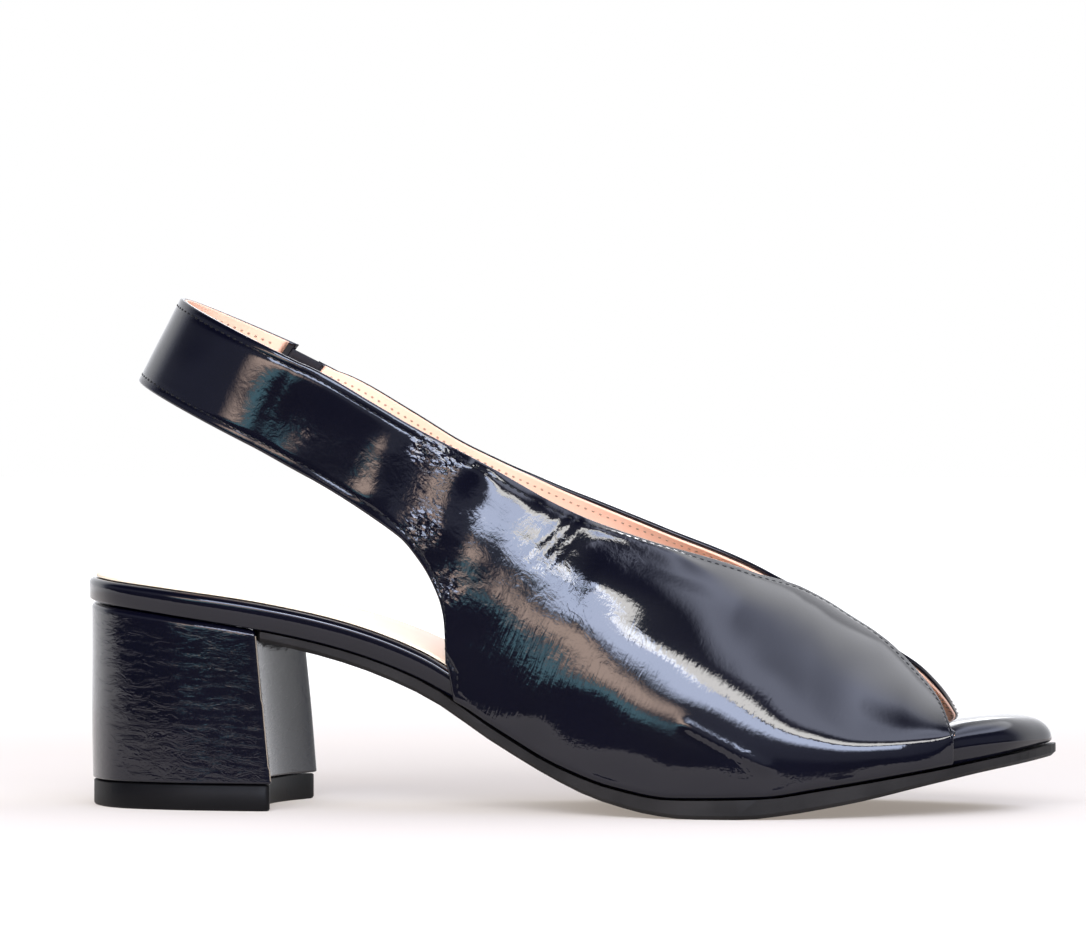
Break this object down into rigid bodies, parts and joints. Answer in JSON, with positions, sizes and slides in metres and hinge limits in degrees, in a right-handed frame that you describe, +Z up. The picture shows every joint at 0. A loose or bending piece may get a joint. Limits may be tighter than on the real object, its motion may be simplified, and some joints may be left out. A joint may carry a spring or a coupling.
{
  "type": "peep toe slingback sandal",
  "caption": "Right peep toe slingback sandal with crossed patent leather panels, a sling strap with an elastic, and a block heel.",
  "frame": {"origin": "middle of the heel's tread, on the floor", "axes": "+X from heel to toe, +Y to the inner (medial) side, +Z up"},
  "size_m": [0.246, 0.0811, 0.1296],
  "materials": {
    "navy_patent": "crinkled gloss patent",
    "sock_leather": "smooth matte",
    "lining_leather": "smooth matte",
    "outsole_rubber": "matte",
    "heel_rubber": "matte",
    "elastic_web": "ribbed"
  },
  "bodies": {
    "root": {"outsole": "outsole_rubber", "insole_board": "navy_patent", "insole_sock": "sock_leather", "heel_block": "navy_patent", "heel_top_piece": "heel_rubber", "upper": "navy_patent", "sling_elastic": "elastic_web"}
  },
  "joints": []
}
